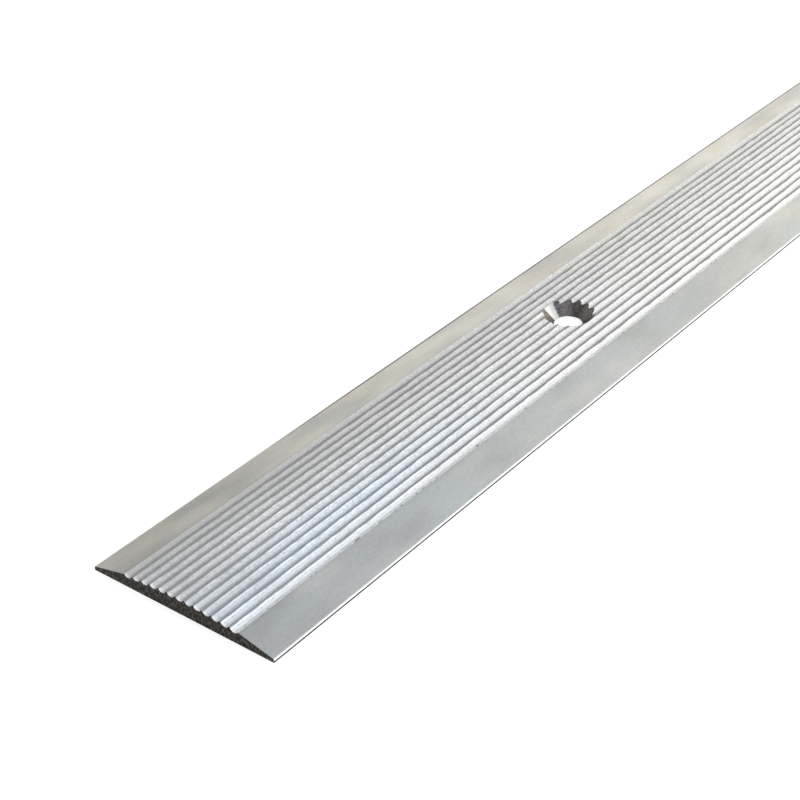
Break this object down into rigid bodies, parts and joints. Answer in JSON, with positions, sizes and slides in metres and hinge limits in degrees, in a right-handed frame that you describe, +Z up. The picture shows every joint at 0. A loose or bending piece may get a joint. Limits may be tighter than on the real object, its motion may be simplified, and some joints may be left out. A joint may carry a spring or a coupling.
{
  "type": "threshold strip",
  "caption": "Flat aluminium floor threshold strip with a crowned fluted band, sloping flanges and countersunk screw holes along its middle.",
  "frame": {"origin": "middle of the flat underside, halfway along the strip", "axes": "+X along the strip, +Y across it, +Z up through the fluted top"},
  "size_m": [0.9, 0.04, 0.0033],
  "materials": {
    "threshold_strip": "bare mill-finish extrusion, satin, with drawn lines along its length"
  },
  "bodies": {
    "root": {"threshold_strip": "threshold_strip"}
  },
  "joints": []
}
